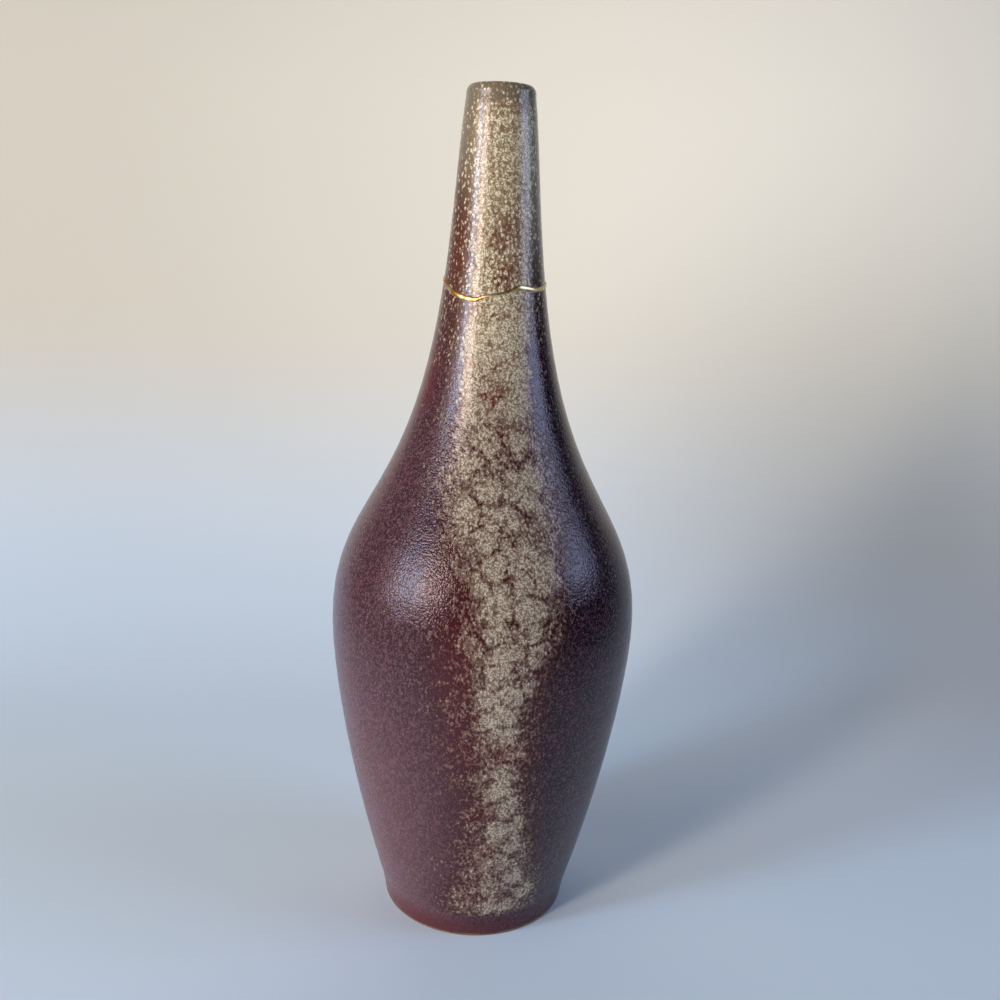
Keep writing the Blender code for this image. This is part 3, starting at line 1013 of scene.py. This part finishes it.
surface_height = add_node(tree, "Math", (from_facet, -FACET_HEIGHT), operation="MULTIPLY")
surface_height = add_node(tree, "Math", (grain, GRAIN_HEIGHT, surface_height), operation="MULTIPLY_ADD")
surface_height = add_node(tree, "Math", (veiled, DROPLET_HEIGHT, surface_height), operation="MULTIPLY_ADD")
from_pinhole = add_node(tree, "VectorMath", (place, PINHOLE), "Value", operation="DISTANCE")
in_pinhole = add_node(tree, "MapRange", (from_pinhole, PINHOLE_RADIUS, 0.4 * PINHOLE_RADIUS), **SOFT)
surface_height = add_node(
    tree, "Math", (in_pinhole, -PINHOLE_DEPTH, surface_height), operation="MULTIPLY_ADD"
)
# Where the glaze melted to a smooth run, its grain lies lower
sharpness = add_node(tree, "MapRange", (marks["melt"], 0.0, 1.0, 1.0, MELTED_SHARPNESS))
surface_height = add_node(tree, "Math", (surface_height, sharpness), operation="MULTIPLY")
bump = add_node(tree, "Bump", {"Strength": 1.0, "Distance": 1.0, "Height": surface_height})

up = add_node(tree, "SeparateXYZ", (place,), "Z")
wiped = add_node(tree, "Math", (patch, WIPED_WANDER, WIPED_HEIGHT), operation="MULTIPLY_ADD")
below = add_node(tree, "Math", (wiped, up), operation="SUBTRACT")
bare = add_node(tree, "MapRange", (below, -WIPED_EDGE, WIPED_EDGE), **SOFT)
colour = add_node(tree, "Mix", {SHARE: bare, FIRST: colour, SECOND: CLAY_TAN}, MIXED, data_type="RGBA")
# Painted shade darkens the pinhole
colour = add_node(
    tree, "Mix", {SHARE: in_pinhole, FIRST: colour, SECOND: PINHOLE_SHADE}, MIXED, data_type="RGBA"
)
roughness = GLAZE_ROUGHNESS
for share, added in (
    (marks["dry_and_sheen"], DRY_ROUGHNESS),
    (veiled, VEIL_ROUGHNESS),
    (marks["melt"], MELT_ROUGHNESS),
    (bare, BARE_ROUGHNESS),
):
    roughness = add_node(tree, "Math", (share, added, roughness), operation="MULTIPLY_ADD")
surface = {"Base Color": colour, "Roughness": roughness, "Normal": bump, "IOR": GLAZE_IOR}
surface["Specular Tint"] = GLAZE_SHINE
shader = add_node(tree, "BsdfPrincipled", surface)
add_node(tree, "OutputMaterial", {"Surface": shader})
print("droplets stand", DROPLET_HEIGHT / MM, "mm high")

# %% [markdown]
# ## Liner glaze, bare clay and gold
# Potters pour a plain dark glaze through the inside to make it hold water, and wipe the foot bare
# so that it doesn't stick to the kiln shelf. The bare clay is buff stoneware, dry and slightly
# gritty. The gold is real gold powder, burnished: a metal whose surface is soft-edged because the
# powder's grains still show.

# %% Liner glaze and bare clay
# Widths in mm
BLOTCH_WIDTH = 4.0
GRIT_WIDTH = 0.5
LINER_DARK = linear("#3A2A22")
LINER_BROWN = linear("#5B4A38")
CLAY_DARK = linear("#80694F")
CLAY_PALE = linear("#A89174")

liner, tree = new_material("dark_liner_glaze")
place = add_node(tree, "TexCoord", {}, "Object")
blotch = add_node(tree, "TexNoise", {"Vector": place, "Scale": per_metre(BLOTCH_WIDTH), "Detail": 4.0}, "Fac")
brown = add_node(tree, "MapRange", (blotch, 0.3, 0.7), **SOFT)
tone = {SHARE: brown, FIRST: LINER_DARK, SECOND: LINER_BROWN}
tone = add_node(tree, "Mix", tone, MIXED, data_type="RGBA")
bump = add_node(tree, "Bump", {"Strength": 1.0, "Distance": 0.03 * MM, "Height": blotch})
surface = {"Base Color": tone, "Roughness": 0.28, "Normal": bump, "IOR": 1.55}
shader = add_node(tree, "BsdfPrincipled", surface)
add_node(tree, "OutputMaterial", {"Surface": shader})

clay, tree = new_material("bare_buff_stoneware_clay")
place = add_node(tree, "TexCoord", {}, "Object")
grit = add_node(tree, "TexNoise", {"Vector": place, "Scale": per_metre(GRIT_WIDTH), "Detail": 3.0}, "Fac")
sandy = add_node(tree, "MapRange", (grit, 0.35, 0.7), **SOFT)
tone = {SHARE: sandy, FIRST: CLAY_DARK, SECOND: CLAY_PALE}
tone = add_node(tree, "Mix", tone, MIXED, data_type="RGBA")
bump = add_node(tree, "Bump", {"Strength": 1.0, "Distance": 0.08 * MM, "Height": grit})
shader = add_node(tree, "BsdfPrincipled", {"Base Color": tone, "Roughness": 0.85, "Normal": bump, "IOR": 1.5})
add_node(tree, "OutputMaterial", {"Surface": shader})
print("liner and clay made")

# %% [markdown]
# Gold powder is a metal, so its colour is the colour of its reflections. Where the line was rubbed
# it is paler and glossier, and elsewhere deeper and more matt, in places of one or two millimetres.

# %% Burnished gold powder
# Widths in mm
POWDER_WIDTH = 0.25
RUBBED_WIDTH = 2.5
GOLD_DEEP = linear("#C88A36")
GOLD_BRIGHT = linear("#FFEEBC")

gold_powder, tree = new_material("burnished_gold_powder")
place = add_node(tree, "TexCoord", {}, "Object")
powder = add_node(tree, "TexNoise", {"Vector": place, "Scale": per_metre(POWDER_WIDTH), "Detail": 2.0}, "Fac")
worn = add_node(tree, "TexNoise", {"Vector": place, "Scale": per_metre(RUBBED_WIDTH), "Detail": 2.0}, "Fac")
burnished = add_node(tree, "MapRange", (worn, 0.35, 0.65), **SOFT)
tone = {SHARE: burnished, FIRST: GOLD_DEEP, SECOND: GOLD_BRIGHT}
tone = add_node(tree, "Mix", tone, MIXED, data_type="RGBA")
gloss = add_node(tree, "MapRange", (worn, 0.3, 0.7, 0.46, 0.34))
bump = add_node(tree, "Bump", {"Strength": 1.0, "Distance": 0.012 * MM, "Height": powder})
surface = {"Base Color": tone, "Roughness": gloss, "Metallic": 1.0, "Normal": bump}
shader = add_node(tree, "BsdfPrincipled", surface)
add_node(tree, "OutputMaterial", {"Surface": shader})
print("gold made")

# %% [markdown]
# ## Each face gets its finish
# The outside takes the outer glaze, the inside the liner, and the underside of the foot the bare
# clay. The liner begins just inside the mouth. Each face is sorted by where its middle lies against
# the middle of the wall.

# %% Finish the pieces and tie them to the model
OUTER, LINER, CLAY = 0, 1, 2
# The liner starts this far below the neck's top, and just under the floor
LINER_START = 3 * MM
LINER_FLOOR = 1 * MM
# The clay reaches this far above the recess, and stays this far inside the outline
CLAY_RISE = 0.5 * MM
CLAY_INSET = 0.2 * MM


def finish_faces(piece):
    mesh = piece.data
    for finish in (glaze, liner, clay):
        mesh.materials.append(finish)
    middles = np.empty(len(mesh.polygons) * 3, np.float32)
    mesh.polygons.foreach_get("center", middles)
    x, y, height = middles.reshape(-1, 3).astype(float).T
    radius = np.hypot(x, y)
    within_wall = radius < (outer_radius(height) + inner_radius(height)) / 2
    inside = within_wall & (height > FLOOR_HEIGHT - LINER_FLOOR) & (height < NECK_TOP_HEIGHT - LINER_START)
    under = (height < RECESS_DEPTH + CLAY_RISE) & (radius < outer_radius(height) - CLAY_INSET)
    chosen = np.where(inside, LINER, np.where(under, CLAY, OUTER)).astype(np.int32)
    mesh.polygons.foreach_set("material_index", chosen)
    mesh.calc_loop_triangles()
    counts = np.bincount(chosen, minlength=3)
    print(piece.name, "has", len(mesh.loop_triangles), "triangles; glaze, liner, clay faces:", counts)


finish_faces(body)
finish_faces(neck_piece)
gold.data.materials.append(gold_powder)
for piece, node, slot in (
    (body, "vase_body", "body_glaze"),
    (neck_piece, "neck_shard", "neck_glaze"),
    (gold, "gold_seam", "gold_lacquer"),
):
    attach(piece, "root")
    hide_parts(node)

# %% [markdown]
# ## The sweep
# The vase stands on a sheet of pale paper that curves up behind it, so that no edge shows in the
# picture. One strip of the paper's section is drawn and pushed sideways to make the sheet.

# %% A pale paper sweep
SWEEP_FRONT = -1.2
SWEEP_BACK = 0.12
SWEEP_RADIUS = 0.30
SWEEP_TOP = 1.6
SWEEP_HALF_WIDTH = 1.6
SWEEP_STEPS = 24
WALL_PLACE = SWEEP_BACK + SWEEP_RADIUS

form = bmesh.new()
curve = rounding((SWEEP_BACK, 0.0), (WALL_PLACE, 0.0), (WALL_PLACE, SWEEP_RADIUS), SWEEP_STEPS)
section = [(SWEEP_FRONT, 0.0)] + curve + [(WALL_PLACE, SWEEP_TOP)]
points = [form.verts.new((-SWEEP_HALF_WIDTH, y, z)) for y, z in section]
lines = [form.edges.new(pair) for pair in zip(points, points[1:])]
pushed = bmesh.ops.extrude_edge_only(form, edges=lines)["geom"]
far_edge = [part for part in pushed if isinstance(part, bmesh.types.BMVert)]
bmesh.ops.translate(form, verts=far_edge, vec=(2 * SWEEP_HALF_WIDTH, 0, 0))
bmesh.ops.recalc_face_normals(form, faces=form.faces)
sweep = to_object("paper_sweep", form)
print("the sheet is", 2 * SWEEP_HALF_WIDTH, "m wide")

# %% [markdown]
# Daylight makes the floor a little blue and the wall behind a little warm, with a soft glow on it
# behind the neck. Beside the vase the paper falls into shade, because its pale reflection would
# wash out the dark right side of the glaze, and so does the corner behind it on the right.

# %% The tints of the paper
FLOOR_TINT = linear("#E2F1FD")
WALL_TINT = linear("#EFE4CE")
WALL_START = 0.16
GLOW_TINT = linear("#FFFAEB")
GLOW_PLACE = (0.15, WALL_PLACE, 0.24)
GLOW_REACH = 0.50
GLOW_STRENGTH = 0.29
BLACK = (0.0, 0.0, 0.0, 1.0)
SHADE_TINT = linear("#6A6664")
# The shade begins and ends this far to the side, and further out by this share of the way back
SHADE_START = 0.19
SHADE_END = 0.42
SHADE_SPREAD = 0.48
CORNER_PLACE = (0.27, 0.28, 0.06)
CORNER_REACH = 0.30
CORNER_SHARE = 0.68

paper, tree = new_material("matt_white_paper")
place = add_node(tree, "TexCoord", {}, "Object")
up = add_node(tree, "SeparateXYZ", (place,), "Z")
across = add_node(tree, "SeparateXYZ", (place,), "X")
back = add_node(tree, "SeparateXYZ", (place,), "Y")
on_wall = add_node(tree, "MapRange", (up, 0.0, WALL_START), **SOFT)
tint = add_node(tree, "Mix", {SHARE: on_wall, FIRST: FLOOR_TINT, SECOND: WALL_TINT}, MIXED, data_type="RGBA")
sideways = add_node(tree, "Math", (across, 0.0), operation="ABSOLUTE")
sideways = add_node(tree, "Math", (back, -SHADE_SPREAD, sideways), operation="MULTIPLY_ADD")
shaded = add_node(tree, "MapRange", (sideways, SHADE_START, SHADE_END), **SOFT)
from_corner = add_node(tree, "VectorMath", (place, CORNER_PLACE), "Value", operation="DISTANCE")
cornered = add_node(tree, "MapRange", (from_corner, 0.0, CORNER_REACH, CORNER_SHARE, 0.0), **SOFT)
shaded = add_node(tree, "Math", (shaded, cornered), operation="MAXIMUM")
tint = add_node(tree, "Mix", {SHARE: shaded, FIRST: tint, SECOND: SHADE_TINT}, MIXED, data_type="RGBA")
from_glow = add_node(tree, "VectorMath", (place, GLOW_PLACE), "Value", operation="DISTANCE")
faded = add_node(tree, "MapRange", (from_glow, 0.0, GLOW_REACH), **SOFT)
glow = add_node(tree, "Mix", {SHARE: faded, FIRST: GLOW_TINT, SECOND: BLACK}, MIXED, data_type="RGBA")
surface = {"Base Color": tint, "Roughness": 0.9, "Emission Color": glow, "Emission Strength": GLOW_STRENGTH}
shader = add_node(tree, "BsdfPrincipled", surface)
add_node(tree, "OutputMaterial", {"Surface": shader})
sweep.data.materials.append(paper)
print(len(tree.nodes), "nodes tint the paper")

# %% [markdown]
# ## The light
# The photograph was lit by windows, and so is this scene, by four area lights. A warm one stands to
# the front left and draws the long cream highlight down the neck; a cooler one beside it gives the
# blue line next to that; and a wide cool one to the right draws the grey-blue band on the other
# side. A larger soft light from the left fills in between. Each is placed by its direction from the
# vase: its angle from the front towards the right, and its elevation.

# %% Lights
VASE_MIDDLE = Vector((0.0, 0.0, 0.13))
# Name, degrees to the right of the front, elevation, distance, width and height in metres, colour, watts
LIGHTS = (
    ("warm_window", -41, 18, 1.1, 0.13, 0.44, "#FFEDDC", 5.3),
    ("cool_window_left", -60, 16, 1.1, 0.17, 0.42, "#B8DAFF", 5.4),
    ("cool_window_right", 81, 20, 1.1, 0.58, 0.42, "#BED4FF", 4.5),
    ("soft_left", -62, 12, 1.0, 0.7, 0.5, "#FFEEDC", 3.1),
)
WORLD_COLOUR = linear("#C9CCD6")
WORLD_STRENGTH = 0.03


def area_light(name, right, elevation, distance, width, height, colour, watts):
    turn, lift = math.radians(right), math.radians(elevation)
    direction = Vector((math.sin(turn) * math.cos(lift), -math.cos(turn) * math.cos(lift), math.sin(lift)))
    lamp = bpy.data.lights.new(name, "AREA")
    lamp.shape = "RECTANGLE"
    lamp.size = width
    lamp.size_y = height
    lamp.energy = watts
    lamp.color = linear(colour)[:3]
    made = bpy.data.objects.new(name, lamp)
    made.location = VASE_MIDDLE + direction * distance
    made.rotation_euler = direction.to_track_quat("Z", "Y").to_euler()
    bpy.context.scene.collection.objects.link(made)


for light in LIGHTS:
    area_light(*light)

world = bpy.data.worlds.new("soft_room")
world.use_nodes = True
background = world.node_tree.nodes["Background"]
background.inputs["Color"].default_value = WORLD_COLOUR
background.inputs["Strength"].default_value = WORLD_STRENGTH
bpy.context.scene.world = world
bpy.context.scene.view_settings.view_transform = "Standard"
print(len(LIGHTS), "area lights")
